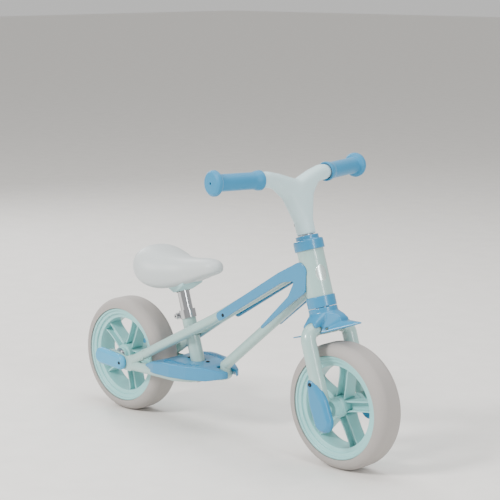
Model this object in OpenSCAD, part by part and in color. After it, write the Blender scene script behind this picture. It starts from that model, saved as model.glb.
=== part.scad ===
// Child's balance bike: a low steel frame on two foam tyres, without pedals.
// X points forward, Y to the rider's left and Z up, in millimetres.
// The origin is on the floor, midway between the wheels.

/* [Wheels] */
// Distance between the rear and the front axle
wheelbase = 506; // [420:1:610]
// Diameter of the rims where the tyres seat
rim_d = 167; // [138:1:202]
// Height of the foam tyre above the rim
tyre_height = 18; // [14:1:24]
// Width of the tyres
tyre_w = 54; // [44:1:66]
// Spokes in each rim
spoke_count = 5; // [4:1:7]
// Diameter of both axles
axle_d = 8; // [6:0.5:10]
// Outside diameter of the wheel bearings
bearing_d = 22; // [19:1:26]
// Width of the wheel bearings
bearing_w = 7; // [5:1:9]

/* [Steering] */
// Lean of the steering axis back from upright, in degrees
head_lean = 17.5; // [10:0.5:24]
// Diameter of the head tube
head_tube_d = 43; // [38:1:52]
// Length of head tube that shows between its two blue rings
head_tube_show = 75; // [62:1:90]
// Diameter of the steerer tube
steerer_d = 22.2; // [18:0.1:26]
// Diameter of the fork legs
leg_d = 24; // [20:1:29]
// Gap between the side of the tyre and a fork leg
leg_gap = 9.5; // [7:0.5:14]
// Gap between the top of the tyre and the fork cover
tyre_top_gap = 16.5; // [12:0.5:24]
// Height of the grips' centre line above the headset cap
bar_rise = 97.5; // [81:0.5:117]
// Distance from the middle of the bar to where a grip begins
bar_reach = 75; // [64:1:90]
// Length of the grips
grip_length = 98; // [82:1:118]
// Diameter of the grips
grip_d = 27; // [26:0.5:32]
// Diameter of the bar end inside a grip
bar_end_d = 22; // [18:0.5:23]
// Sweep of the grips towards the rider, in degrees
bar_sweep = 8; // [0:0.5:12]
// Rise of the grips towards their ends, in degrees
bar_lift = 1.5; // [0:0.5:6]

/* [Frame] */
// Diameter of the two long tubes from the head to the rear wheel
main_tube_d = 17; // [14:0.5:19]
// Diameter of the down tube
down_tube_d = 18; // [15:0.5:21]
// Diameter of the bent rail below the footboard
rail_d = 18; // [15:0.5:20]
// Wall of the seat tube
seat_tube_wall = 1.6; // [1.2:0.1:2.4]
// Gap between the rear tyre and the seat tube's foot
seat_foot_gap = 70.5; // [60:0.5:85]
// Gap between the side of the rear tyre and a dropout plate
dropout_gap = 16.5; // [14:0.5:20]
// Thickness of the dropout plates
dropout_t = 5; // [4:0.5:6]

/* [Footboard] */
// Width of one footboard wing beside the rear wheel
wing_w = 26; // [22:1:31]
// Height of the footboard
board_h = 24; // [20:1:29]
// Wall of the footboard
board_wall = 2.5; // [2:0.5:3.5]

/* [Seat] */
// Lean of the seat tube back from upright, in degrees
seat_lean = 17; // [10:0.5:22]
// Diameter of the seat post
seat_post_d = 21; // [17.5:0.1:25.2]
// Length of the seat post
seat_post_length = 118; // [100:1:141]
// Length of the saddle
saddle_length = 186; // [155:1:223]
// Width of the saddle
saddle_w = 120; // [100:1:144]

/* [Hidden] */
$fn = 64;

// Fits and small gaps
run_gap = 0.05;
move_gap = 0.4;
skin_gap = 0.3;
weld = 0.3;
cut = 1;

// Colours
BLUE = [0.36, 0.63, 0.80];
LIGHT_BLUE = [0.52, 0.79, 0.91];
MINT = [0.72, 0.83, 0.81];
AQUA = [0.73, 0.89, 0.89];
PALE = [0.84, 0.90, 0.91];
GREY = [0.82, 0.80, 0.79];
CHROME = [0.78, 0.80, 0.82];
STEEL = [0.55, 0.57, 0.60];
DARK = [0.10, 0.11, 0.13];

// Wheels
rim_r = rim_d / 2;
tyre_r = rim_r + tyre_height;
axle_z = tyre_r;
rear_x = -wheelbase / 2;
front_x = wheelbase / 2;
rim_half = tyre_w / 2 - 2.2;
rim_bed = 5.5;
rim_inner_r = rim_r - 17.5;
hub_r = 17;
hub_half = 20;
collar_r = bearing_d / 2 + 2.5;
bearing_out = hub_half + bearing_w;
spoke_half = 7.5;
rib_t = 2.6;
spacer_d = axle_d + 4;
nut_af = 13;
nut_t = 6.5;

// Steering stack, measured up the steering axis from the front axle
leg_y = tyre_w / 2 + leg_gap + leg_d / 2;
leg_end_t = 5;
blade_s = tyre_r + tyre_top_gap;
bend_r = leg_d / 2 + 6;
crown_s = blade_s + 8.5;
crown_d = leg_d - 4;
cover_top_s = blade_s + 40;
ring_s = cover_top_s + 0.6;
ring_h = 17.7;
ring_d = head_tube_d + 4;
cap_s = ring_s + ring_h + head_tube_show;
cap_d = head_tube_d + 5.5;
cap_h = 16.4;
cap_neck_d = steerer_d + 14.8;
cap_neck_h = 7;
stem_s = cap_s + cap_h + cap_neck_h + 0.6;
stem_d = steerer_d + 9;
grip_s = cap_s + cap_h + cap_neck_h + bar_rise;
arm_d = bar_end_d + 4;
head_wall = 2;
bush_h = 14;
steerer_top_s = stem_s + 45;

// Frame points, from the rear axle
seat_foot = [rear_x + tyre_r + seat_foot_gap, 0, axle_z + 13.5];
joint_x = seat_foot[0] + 52;
joint_z = axle_z + 98;
dropout_y = tyre_w / 2 + dropout_gap + dropout_t / 2;
stay_end = [rear_x + 58, dropout_y + 1.5, axle_z + 4];
joint_y = main_tube_d / 2 + 0.5;
rail_z = axle_z - 6.5;
rail_start = [rear_x + 58, dropout_y, rail_z];
nose_r = down_tube_d / 2 + 4;
nose_x = seat_foot[0] + 54;
nose_z = rail_z + 8;
rail_points = [
    rail_start,
    [seat_foot[0] - 12, dropout_y + 0.5, rail_z],
    [seat_foot[0] + 22, dropout_y - 7.5, rail_z + 2.5],
    [nose_x, nose_r, nose_z]
];
down_foot = [nose_x + nose_r, 0, nose_z + 16];
plate_t = 3;
plate_l = 66;
plate_half = dropout_y - 6.5;

// Places on the leaning axes
function on_head(s) = [front_x - s * sin(head_lean), 0, axle_z + s * cos(head_lean)];
function on_seat(u) = [seat_foot[0] - u * sin(seat_lean), 0, seat_foot[2] + u * cos(seat_lean)];
function lerp(a, b, f) = a + (b - a) * f;
function unit(v) = v / norm(v);

main_head_s = cap_s - 19;
main_head = on_head(main_head_s) + [0, joint_y, 0];
main_joint = [joint_x, joint_y, joint_z];
down_head_s = ring_s + ring_h + 21.5;
down_head = on_head(down_head_s);

// Seat stack, measured up the seat tube's axis from its foot
seat_tube_d = seat_post_d + 2 * (run_gap + seat_tube_wall);
seat_tube_top = 86;
clamp_low = 76;
clamp_h = 15;
clamp_t = 2;
seat_top = 124;
post_sink = 12;

// Footboard outline, in plan
board_low = rail_z - 1.5;
board_top = board_low + board_h;
slot_half = tyre_w / 2 + 5;
wing_out = slot_half + wing_w;

// ------------------------------------------------------------ helpers

// Puts children on the steering axis: X forward across it, Z up along it.
module on_fork() {
    translate([front_x, 0, axle_z]) rotate([0, -head_lean, 0]) children();
}

// Puts children on the seat tube's axis, Z up along it.
module on_seat_axis() {
    translate(seat_foot) rotate([0, -seat_lean, 0]) children();
}

// A straight round bar between two points.
module rod(a, b, d) {
    v = b - a;
    translate(a) rotate([0, acos(v[2] / norm(v)), atan2(v[1], v[0])]) cylinder(h = norm(v), d = d);
}

// Turns children so that their Z lies along +Y.
module along_y() {
    rotate([-90, 0, 0]) children();
}

// Two copies of children, one each side of the bike.
module both_sides() {
    children();
    mirror([0, 1, 0]) children();
}

module side_of(left) {
    if (left) children();
    else mirror([0, 1, 0]) children();
}

// A six-sided nut about Z.
module nut(bore) {
    difference() {
        cylinder(h = nut_t, d = nut_af / cos(30), $fn = 6);
        translate([0, 0, -cut]) cylinder(h = nut_t + 2 * cut, d = bore);
    }
}

// A cross-head screw about Z with its head on top at z = 0.
module screw(head_d, shank_d, length) {
    difference() {
        union() {
            cylinder(h = 1.5, d1 = head_d, d2 = head_d - 1.2);
            translate([0, 0, -length]) cylinder(h = length, d = shank_d);
        }
        translate([0, 0, 0.7]) cylinder(h = 2, d = head_d * 0.4, $fn = 6);
    }
}

// ------------------------------------------------------------ wheels

module at_rear() {
    translate([rear_x, 0, axle_z]) children();
}

module at_front() {
    translate([front_x, 0, axle_z]) children();
}

function step_side(s) = [
    [rim_r, s * (rim_half - 4)], [rim_r, s * rim_half], [rim_r - 4.5, s * rim_half],
    [rim_r - 4.5, s * (rim_half - 3)], [rim_r - 10.5, s * (rim_half - 3)],
    [rim_r - 10.5, s * (rim_half - 7)], [rim_inner_r, s * (rim_half - 7)]
];

function reversed(list) = [for (i = [len(list) - 1:-1:0]) list[i]];

// One moulded wheel: stepped rim, double-ribbed spokes and a hub barrel.
module rim(turn) {
    along_y() {
        rotate_extrude($fn = 128) polygon(concat(
            [[rim_r - rim_bed, rim_half - 6]], step_side(1), reversed(step_side(-1)),
            [[rim_r - rim_bed, 6 - rim_half]]
        ));
        difference() {
            union() {
                translate([0, 0, -hub_half]) cylinder(h = 2 * hub_half, r = hub_r);
                translate([0, 0, -bearing_out]) cylinder(h = 2 * bearing_out, r = collar_r);
                for (i = [0:spoke_count - 1]) rotate([0, 0, turn + i * 360 / spoke_count]) spoke();
            }
            translate([0, 0, -bearing_out - cut]) cylinder(h = 2 * bearing_out + 2 * cut, d = axle_d + 4);
            for (s = [-1, 1]) translate([0, 0, s * (hub_half + bearing_w / 2 + cut / 2)])
                cylinder(h = bearing_w + cut, d = bearing_d, center = true);
        }
    }
}

module spoke() {
    length = rim_inner_r - hub_r + 3;
    for (s = [-1, 1]) translate([hub_r - 1.5, s * spoke_half - rib_t / 2, -13])
        cube([length, rib_t, 26]);
    translate([hub_r - 1.5, -spoke_half, -rib_t / 2]) cube([length, 2 * spoke_half, rib_t]);
}

module tyre() {
    shoulder = 17;
    along_y() rotate_extrude($fn = 128) difference() {
        union() {
            translate([rim_r - rim_bed, -tyre_w / 2 + shoulder])
                square([tyre_height + rim_bed, tyre_w - 2 * shoulder]);
            translate([rim_r - rim_bed, -tyre_w / 2])
                square([tyre_height + rim_bed - shoulder, tyre_w]);
            for (s = [-1, 1]) translate([tyre_r - shoulder, s * (tyre_w / 2 - shoulder)])
                circle(r = shoulder, $fn = 96);
        }
        // room for the rim
        translate([rim_inner_r, -tyre_w]) square([rim_r - rim_bed - rim_inner_r, 2 * tyre_w]);
        for (s = [-1, 1]) polygon([
            [rim_r - rim_bed - cut, s * (rim_half - 6)], [rim_r - rim_bed, s * (rim_half - 6)],
            [rim_r, s * (rim_half - 4)], [rim_r, s * (tyre_w / 2 + cut)],
            [rim_r - rim_bed - cut, s * (tyre_w / 2 + cut)]
        ]);
    }
}

module bearing(side) {
    along_y() translate([0, 0, side > 0 ? hub_half : -bearing_out]) difference() {
        cylinder(h = bearing_w, d = bearing_d);
        translate([0, 0, -cut]) cylinder(h = bearing_w + 2 * cut, d = axle_d + 2 * run_gap);
    }
}

// A sleeve round each spacer runs out to sleeve_y.
module spacers(inner_y, sleeve_y, sleeve_d) {
    both_sides() along_y() translate([0, 0, bearing_out + move_gap]) difference() {
        union() {
            cylinder(h = inner_y - bearing_out - move_gap, d = spacer_d);
            cylinder(h = sleeve_y - bearing_out - move_gap, d = sleeve_d);
        }
        translate([0, 0, -cut]) cylinder(h = inner_y, d = axle_d);
    }
}

module axle(half) {
    along_y() translate([0, 0, -half]) cylinder(h = 2 * half, d = axle_d);
}

module axle_nuts(seat_y) {
    both_sides() along_y() translate([0, 0, seat_y]) nut(axle_d);
}

module front_rim() { color(AQUA) at_front() rim(82); }
module rear_rim() { color(AQUA) at_rear() rim(68); }
module front_tyre() { color(GREY) at_front() tyre(); }
module rear_tyre() { color(GREY) at_rear() tyre(); }
module front_bearing_right() { color(STEEL) at_front() bearing(-1); }
module front_bearing_left() { color(STEEL) at_front() bearing(1); }
module rear_bearing_right() { color(STEEL) at_rear() bearing(-1); }
module rear_bearing_left() { color(STEEL) at_rear() bearing(1); }

// ------------------------------------------------------------ rear axle

rear_nut_y = dropout_y + dropout_t / 2;

module rear_axle() { color(STEEL) at_rear() axle(rear_nut_y + nut_t + 1); }
module rear_axle_nuts() { color(STEEL) at_rear() axle_nuts(rear_nut_y); }
module rear_spacers() { color(STEEL) at_rear() spacers(rear_nut_y - dropout_t, bearing_out + 3, spacer_d + 4); }

// Plate that holds one end of the rear axle and joins the stay to the rail.
module dropout(left) {
    color(MINT) side_of(left) difference() {
        translate([0, dropout_y + dropout_t / 2, 0]) rotate([90, 0, 0])
            linear_extrude(height = dropout_t) union() {
                hull() {
                    translate([rear_x, axle_z]) circle(r = 14);
                    translate([rear_x + 46, axle_z - 7]) circle(r = 11);
                }
                hull() {
                    translate([rear_x + 40, axle_z - 3]) circle(r = 10);
                    translate([rear_x + 78, axle_z + 14]) circle(r = 6.5);
                }
                hull() {
                    translate([rear_x + 40, axle_z - 8]) circle(r = 9);
                    translate([rear_x + 80, axle_z - 6.5]) circle(r = 6.5);
                }
            }
        at_rear() along_y() cylinder(h = 2 * dropout_y, d = axle_d);
    }
}

module dropout_right() { dropout(false); }
module dropout_left() { dropout(true); }

// Bean-shaped shell over one rear axle nut.
module rear_cover(left) {
    color(LIGHT_BLUE) side_of(left) translate([rear_x, rear_nut_y, axle_z]) along_y() difference() {
        hull() {
            for (p = [[-22, 0.5, 15], [27, 4.5, 13.5]]) translate([p[0], p[1], 0.2]) {
                cylinder(h = 5, r = p[2], $fn = 32);
                cylinder(h = 9.5, r = p[2] - 4, $fn = 32);
            }
        }
        translate([0, 0, -cut]) cylinder(h = 8 + cut, d = nut_af + 4.5);
        translate([rear_screw[0], rear_screw[1], -cut]) cylinder(h = 20, d = 3.5);
        translate([rear_screw[0], rear_screw[1], 8]) cylinder(h = 3, d = 6.5);
    }
}

rear_screw = [30, 5];

module rear_cover_right() { rear_cover(false); }
module rear_cover_left() { rear_cover(true); }

module rear_cover_screws() {
    color(DARK) both_sides() translate([rear_x, rear_nut_y, axle_z]) along_y()
        translate([rear_screw[0], rear_screw[1], 8]) screw(6, 3.5, 8);
}

// ------------------------------------------------------------ frame

module head_tube_solid(d) {
    on_fork() translate([0, 0, ring_s + 3]) cylinder(h = cap_s + 10 - ring_s - 3, d = d);
}

module head_tube() {
    color(MINT) difference() {
        head_tube_solid(head_tube_d);
        on_fork() translate([0, 0, ring_s]) cylinder(h = cap_s + 20 - ring_s, d = head_tube_d - 2 * head_wall);
    }
}

module seat_tube_solid(d) {
    on_seat_axis() translate([0, 0, -32]) cylinder(h = seat_tube_top + 32, d = d);
}

module seat_tube() {
    color(MINT) difference() {
        seat_tube_solid(seat_tube_d);
        on_seat_axis() translate([0, 0, -32 - cut])
            cylinder(h = seat_tube_top + 32 + 2 * cut, d = seat_post_d + 2 * run_gap);
        on_seat_axis() translate([-seat_tube_d, -1, seat_tube_top - 18]) cube([seat_tube_d, 2, 18 + cut]);
    }
}

// One long tube from the head tube, past the seat tube, to the rear dropout.
module main_tube(left) {
    color(MINT) side_of(left) difference() {
        union() {
            rod(main_joint, main_head, main_tube_d);
            rod(stay_end, main_joint, main_tube_d);
            translate(main_joint) sphere(d = main_tube_d + weld);
        }
        head_tube_solid(head_tube_d);
        seat_tube_solid(seat_tube_d);
        dropout_room();
        rod(rail_start, rail_points[1], rail_d);
    }
}

module dropout_room() {
    translate([rear_x, dropout_y - dropout_t / 2, 0]) cube([79 + 7, dropout_t, 3 * axle_z]);
}

module main_tube_right() { main_tube(false); }
module main_tube_left() { main_tube(true); }

module nose_solid(d) {
    translate([nose_x, 0, nose_z]) {
        rotate([0, 0, -90]) rotate_extrude(angle = 180) translate([nose_r, 0]) circle(d = d);
    }
}

module rail_side(d) {
    for (i = [0:2]) {
        rod(rail_points[i], rail_points[i + 1], d);
        translate(rail_points[i + 1]) rotate([0, 90, 0]) sphere(d = d + weld);
    }
}

// Bent rail under the footboard, from one dropout round the nose to the other.
module lower_rail() {
    color(MINT) difference() {
        union() {
            both_sides() rail_side(rail_d);
            nose_solid(rail_d);
        }
        both_sides() dropout_room();
        seat_tube_solid(seat_tube_d);
    }
}

module down_tube() {
    color(MINT) difference() {
        union() {
            rod(down_foot, down_head, down_tube_d);
            rod([down_foot[0], 0, nose_z], down_foot, down_tube_d);
            translate(down_foot) sphere(d = down_tube_d + weld);
        }
        head_tube_solid(head_tube_d);
        both_sides() rail_side(rail_d);
        nose_solid(rail_d);
        on_fork() translate([0, 0, ring_s - 1]) cylinder(h = ring_h + 1.2, d = ring_d);
        both_sides() rod(main_joint, main_head, main_tube_d);
    }
}

// Plate across the rail that carries the seat tube and the footboard.
module base_plate() {
    color(MINT) difference() {
        translate([seat_foot[0] - plate_l / 2, -plate_half, rail_z + rail_d / 2])
            cube([plate_l, 2 * plate_half, plate_t]);
        both_sides() rail_side(rail_d);
        seat_tube_solid(seat_tube_d);
        footboard_screw_places() translate([0, 0, -40]) cylinder(h = 60, d = 4);
    }
}

// Small plate between the two long tubes, tucked under them against the seat tube.
bridge_screw_x = seat_tube_d / 2 + 5.35;

module stay_bridge() {
    color(MINT) difference() {
        on_seat_axis() translate([-bridge_screw_x - 4.5, -15, 46]) cube([2 * bridge_screw_x + 9, 30, 4]);
        seat_tube_solid(seat_tube_d);
        both_sides() rod(stay_end, main_joint, main_tube_d);
        stay_bridge_places() translate([0, 0, -10]) cylinder(h = 20, d = 4);
    }
}

module stay_bridge_places() {
    on_seat_axis() for (x = [-bridge_screw_x, bridge_screw_x]) translate([x, 0, 46]) mirror([0, 0, 1]) children();
}

module stay_bridge_screws() {
    color(DARK) stay_bridge_places() screw(7, 4, 9);
}

module seat_tube_plug() {
    color(DARK) on_seat_axis() {
        translate([0, 0, -32]) cylinder(h = 10, d = seat_post_d + 2 * run_gap);
        translate([0, 0, -35.5]) cylinder(h = 3.5, d1 = seat_tube_d - 6, d2 = seat_tube_d);
    }
}

// ------------------------------------------------------------ headset

module headset_cap() {
    color(BLUE) on_fork() difference() {
        union() {
            translate([0, 0, cap_s]) cylinder(h = cap_h - 1.5, d = cap_d);
            translate([0, 0, cap_s + cap_h - 1.5]) cylinder(h = 1.5, d1 = cap_d, d2 = cap_d - 3);
            translate([0, 0, cap_s + cap_h]) cylinder(h = cap_neck_h, d = cap_neck_d);
        }
        translate([0, 0, cap_s - cut]) cylinder(h = 10 + 2 * cut, d = head_tube_d);
        translate([0, 0, cap_s - cut]) cylinder(h = cap_h + cap_neck_h + 2 * cut, d = steerer_d + 2 * move_gap);
    }
}

module headset_ring() {
    color(BLUE) on_fork() difference() {
        translate([0, 0, ring_s]) cylinder(h = ring_h, d = ring_d);
        translate([0, 0, ring_s + 3]) cylinder(h = ring_h, d = head_tube_d);
        translate([0, 0, ring_s - cut]) cylinder(h = ring_h, d = steerer_d + 2 * move_gap);
    }
}

module bush(s) {
    color(DARK) on_fork() translate([0, 0, s]) difference() {
        cylinder(h = bush_h, d = head_tube_d - 2 * head_wall);
        translate([0, 0, -cut]) cylinder(h = bush_h + 2 * cut, d = steerer_d + 2 * run_gap);
    }
}

module upper_bush() { bush(cap_s + 10 - bush_h); }
module lower_bush() { bush(ring_s + 3); }

// ------------------------------------------------------------ side covers

cover_in = max(main_tube_d / 2 + joint_y + 0.3, head_tube_d / 2 - 2.5);
cover_t = 4.5;
main_dir = unit(main_head - main_joint);
down_dir = unit(down_head - down_foot);
main_slope = atan2(main_dir[2], main_dir[0]);

// A point in the side view, beside the upper tube.
function by_main(f, off) = let (p = lerp(main_joint, main_head, f))
    [p[0] - off * sin(main_slope), p[2] + off * cos(main_slope)];

down_slope = atan2(down_dir[2], down_dir[0]);

// A point in the side view, beside the down tube.
function by_down(f, off) = let (p = lerp(down_foot, down_head, f))
    [p[0] - off * sin(down_slope), p[2] + off * cos(down_slope)];

module spot(p, r) {
    translate(p) circle(r = r, $fn = 48);
}

// Wishbone outline: a long upper arm, a lobe beside the head tube and a short lower arm.
module cover_outline() {
    lobe = on_head(main_head_s);
    high = [lobe[0] - 7, lobe[2] - 14];
    low = [lobe[0] - 7.5, lobe[2] - 39];
    hull() {
        spot(by_main(0.105, -4), 7.6);
        spot(by_main(0.77, -0.5), 8.5);
    }
    hull() {
        spot(by_main(0.77, -0.5), 8.5);
        spot(high, 14.5);
    }
    hull() {
        spot(high, 14.5);
        spot(low, 13.5);
    }
    hull() {
        spot(low, 13.5);
        spot(by_down(0.827, 1.5), 6.5);
    }
    hull() {
        spot(by_down(0.827, 1.5), 6.5);
        spot(by_down(0.515, -1), 2.6);
    }
}

module side_cover(left) {
    color(BLUE) side_of(left) difference() {
        translate([0, cover_in + cover_t, 0]) rotate([90, 0, 0]) linear_extrude(height = cover_t) cover_outline();
        head_tube_solid(head_tube_d + 0.6);
        side_cover_place() cylinder(h = 30, d = 4, center = true);
    }
}

module side_cover_place() {
    p = by_main(0.14, -5.5);
    translate([p[0], cover_in, p[1]]) along_y() children();
}

module side_cover_right() { side_cover(false); }
module side_cover_left() { side_cover(true); }

module side_cover_screws() {
    color(DARK) both_sides() side_cover_place() translate([0, 0, cover_t]) screw(6.5, 4, cover_t);
}

// ------------------------------------------------------------ footboard

board_tip = [rear_x + tyre_r - 8, wing_out - 5];

// Half of the footboard's outline in plan, from the tip of its wing to its nose.
board_half = [
    board_tip,
    [seat_foot[0] - 52, wing_out],
    [seat_foot[0] - 12, wing_out],
    [seat_foot[0] + 22, wing_out - 7.5],
    [seat_foot[0] + 45, wing_out - 19],
    [seat_foot[0] + 68, wing_out - 31],
    [seat_foot[0] + 80, wing_out - 39],
    [seat_foot[0] + 84, wing_out - 46]
];

module board_outline() {
    polygon(concat(
        board_half, [for (p = reversed(board_half)) [p[0], -p[1]]]
    ));
}

// Side view of the footboard: its top sinks towards the tips of the wings.
module board_profile(drop) {
    translate([0, 200, 0]) rotate([90, 0, 0]) linear_extrude(height = 400) polygon([
        [board_tip[0] - 1, board_low - drop], [board_tip[0] - 1, board_low + 11 - drop],
        [seat_foot[0] - 62, board_top - 5 - drop], [seat_foot[0] - 27, board_top - drop],
        [seat_foot[0] + 46, board_top - drop], [seat_foot[0] + 86, board_top - 6 - drop],
        [seat_foot[0] + 86, board_low + 7 - drop], [seat_foot[0] + 52, board_low - drop]
    ]);
}

module footboard() {
    color(BLUE) difference() {
        intersection() {
            translate([0, 0, board_low]) linear_extrude(height = board_h) board_outline();
            board_profile(0);
        }
        intersection() {
            translate([0, 0, board_low - cut]) linear_extrude(height = board_h)
                offset(delta = -board_wall) board_outline();
            board_profile(2 * board_wall);
        }
        // room for the rails, the rear wheel, the seat tube, the nose and the screws
        both_sides() rail_side(rail_d + 2 * skin_gap);
        nose_solid(rail_d + 2 * skin_gap);
        translate([rear_x, -slot_half, 0]) cube([tyre_r + 9, 2 * slot_half, 3 * axle_z]);
        seat_tube_solid(seat_tube_d + 1);
        translate([seat_foot[0] + 54, -down_tube_d / 2 - 1, 0]) cube([60, down_tube_d + 2, 3 * axle_z]);
        footboard_screw_places() translate([0, 0, -20]) cylinder(h = 60, d = 4);
    }
}

module footboard_screw_places() {
    for (x = [-21, 24]) translate([seat_foot[0] + x, 0, board_top]) children();
}

module footboard_screws() {
    color(DARK) footboard_screw_places() screw(7, 4, board_h - 4);
}

// ------------------------------------------------------------ seat clamp

module seat_clamp() {
    d = seat_tube_d + 2 * clamp_t;
    color(CHROME) difference() {
        on_seat_axis() translate([0, 0, clamp_low]) {
            cylinder(h = clamp_h, d = d);
            translate([-d / 2 - 9, -7.5, 1]) cube([16, 15, clamp_h - 3]);
        }
        on_seat_axis() translate([0, 0, clamp_low - cut]) cylinder(h = seat_tube_top - clamp_low + cut, d = seat_tube_d);
        on_seat_axis() translate([0, 0, clamp_low - cut]) cylinder(h = clamp_h + 2 * cut, d = seat_post_d + 2 * run_gap);
        on_seat_axis() translate([-d, -1, clamp_low - cut]) cube([d, 2, clamp_h + 2 * cut]);
        seat_clamp_bolt_place() cylinder(h = 40, d = 5, center = true);
    }
}

module seat_clamp_bolt_place() {
    on_seat_axis() translate([-seat_tube_d / 2 - clamp_t - 5, 0, clamp_low + clamp_h / 2 - 0.5]) along_y() children();
}

module seat_clamp_bolt() {
    color(DARK) seat_clamp_bolt_place() {
        translate([0, 0, -9]) cylinder(h = 21, d = 5);
        translate([0, 0, 7.5]) cylinder(h = 4, d = 9, $fn = 6);
        mirror([0, 0, 1]) translate([0, 0, 7.5]) difference() {
            cylinder(h = 5, d = 8.5);
            translate([0, 0, 2]) cylinder(h = 5, d = 4, $fn = 6);
        }
    }
}

// ------------------------------------------------------------ fork

module steerer_solid(d) {
    on_fork() translate([0, 0, crown_s - 8]) cylinder(h = steerer_top_s - crown_s + 8, d = d);
}

module steerer_tube() {
    color(STEEL) difference() {
        steerer_solid(steerer_d);
        steerer_bore();
        handlebar_bolt_place() cylinder(h = 60, d = 6, center = true);
    }
}

module steerer_bore() {
    on_fork() translate([0, 0, crown_s - 9]) cylinder(h = steerer_top_s, d = steerer_d - 4);
}

module leg_bend(d) {
    translate([0, leg_y - bend_r, crown_s - bend_r]) rotate([90, 0, 90])
        rotate_extrude(angle = 90) translate([bend_r, 0]) circle(d = d);
}

// Steel lug that joins the steerer to both fork legs.
module fork_crown() {
    color(MINT) on_fork() difference() {
        union() {
            translate([0, 0, crown_s - 10]) cylinder(h = 26, d = steerer_d + 9);
            rotate([90, 0, 0]) translate([0, crown_s, bend_r - leg_y])
                cylinder(h = 2 * (leg_y - bend_r), d = crown_d);
        }
        translate([0, 0, crown_s - 20]) cylinder(h = 60, d = steerer_d);
    }
}

// One fork leg: a bent tube with a flat end for the axle.
module fork_leg(left) {
    color(MINT) on_fork() side_of(left) difference() {
        union() {
            leg_bend(leg_d);
            translate([0, leg_y, 14]) cylinder(h = crown_s - bend_r - 14, d = leg_d);
            translate([0, leg_y + leg_end_t / 2, 0]) rotate([90, 0, 0]) linear_extrude(height = leg_end_t) hull() {
                circle(r = 12);
                translate([-12, 20]) square([24, 2]);
            }
        }
        along_y() cylinder(h = 2 * leg_y, d = axle_d);
    }
}

module fork_leg_right() { fork_leg(false); }
module fork_leg_left() { fork_leg(true); }

// Blue hood over the fork crown, with a short mudguard blade front and back.
blade_front = 73;
blade_back = 78;
hood_half = leg_d / 2 + 0.5;
hood_edge_y = leg_y - 8;
hood_edge_s = crown_s + 2;

module hood_collar() {
    translate([0, 0, cover_top_s - 10]) cylinder(h = 2, d = ring_d, $fn = 32);
}

module blade_middle() {
    translate([-14, -30, blade_s]) cube([24, 60, 3]);
}

// Rounded brow on the front of the hood.
module hood_brow() {
    translate([27, 0, blade_s + 14]) rotate([90, 0, 0]) cylinder(h = 16, r = 13, center = true, $fn = 32);
}

module crown_hood() {
    translate([0, 0, cover_top_s - 10]) cylinder(h = 10, d = ring_d);
    // slopes down to both legs
    hull() {
        hood_collar();
        translate([-hood_half, -hood_edge_y, hood_edge_s]) cube([2 * hood_half, 2 * hood_edge_y, 6]);
    }
    // ridge along the middle
    hull() {
        hood_collar();
        blade_middle();
        hood_brow();
        translate([-38, -9, blade_s + 4]) cube([3, 18, 4]);
    }
}

module crown_blade() {
    hull() {
        blade_middle();
        translate([42, -7, blade_s + 7]) cube([3, 14, 5]);
        translate([blade_front - 3, 0, blade_s + 3]) cylinder(h = 2, r = 3, $fn = 32);
    }
    hull() {
        blade_middle();
        translate([3 - blade_back, 0, blade_s + 1]) cylinder(h = 2, r = 3, $fn = 32);
    }
}

module crown_cover() {
    color(BLUE) on_fork() difference() {
        union() {
            crown_hood();
            crown_blade();
        }
        both_sides() leg_bend(leg_d + 2 * skin_gap);
        rotate([90, 0, 0]) translate([0, crown_s, bend_r - leg_y])
            cylinder(h = 2 * (leg_y - bend_r), d = leg_d + 2 * skin_gap);
        translate([-22, -24, blade_s - cut]) cube([44, 48, 9]);
        translate([0, 0, crown_s - 20]) cylinder(h = 60, d = steerer_d + 10);
    }
}

front_nut_y = leg_y + leg_end_t / 2;

module front_axle() { color(STEEL) at_front() axle(front_nut_y + nut_t + 1); }
module front_axle_nuts() { color(STEEL) at_front() axle_nuts(front_nut_y); }
module front_spacers() {
    color(AQUA) at_front() spacers(front_nut_y - leg_end_t, leg_y - leg_d / 2 - skin_gap, 2 * collar_r);
}

// Teardrop shell over one front axle nut and the foot of the leg.
fork_screw = [-3, 45];

module teardrop(inset, h) {
    linear_extrude(height = h) hull() {
        translate([0, 11]) circle(r = 18.5 - inset, $fn = 48);
        translate([2, -16]) circle(r = 18 - inset, $fn = 48);
        translate([-4, 44]) circle(r = 10.5 - inset, $fn = 48);
    }
}

module fork_cover(left) {
    color(BLUE) on_fork() side_of(left) difference() {
        translate([0, leg_y + 3, 0]) rotate([90, 0, 0]) mirror([0, 0, 1]) hull() {
            teardrop(0, 7);
            teardrop(5.5, leg_d / 2 + 0.6);
        }
        translate([0, leg_y, 14]) cylinder(h = 90, d = leg_d + 0.4);
        along_y() cylinder(h = front_nut_y + nut_t + 2, d = nut_af + 5);
        translate([fork_screw[0], 0, fork_screw[1]]) along_y() cylinder(h = 2 * leg_y, d = 4);
    }
}

module fork_cover_right() { fork_cover(false); }
module fork_cover_left() { fork_cover(true); }

module fork_cover_screws() {
    color(DARK) on_fork() both_sides() translate([fork_screw[0], leg_y + leg_d / 2 + 3.6, fork_screw[1]])
        along_y() screw(6.5, 4, 3);
}

// ------------------------------------------------------------ handlebar

module bar_end_place() {
    translate(on_head(grip_s) + [0, bar_reach, 0]) rotate([bar_lift, 0, bar_sweep]) children();
}

// Where the stem opens into one arm.
module bar_fork(grow) {
    translate([0, 0, grip_s - 20]) sphere(d = arm_d + 2 + grow, $fn = 32);
    translate([0, 18, grip_s - 30]) sphere(d = arm_d + grow, $fn = 32);
}

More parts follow.
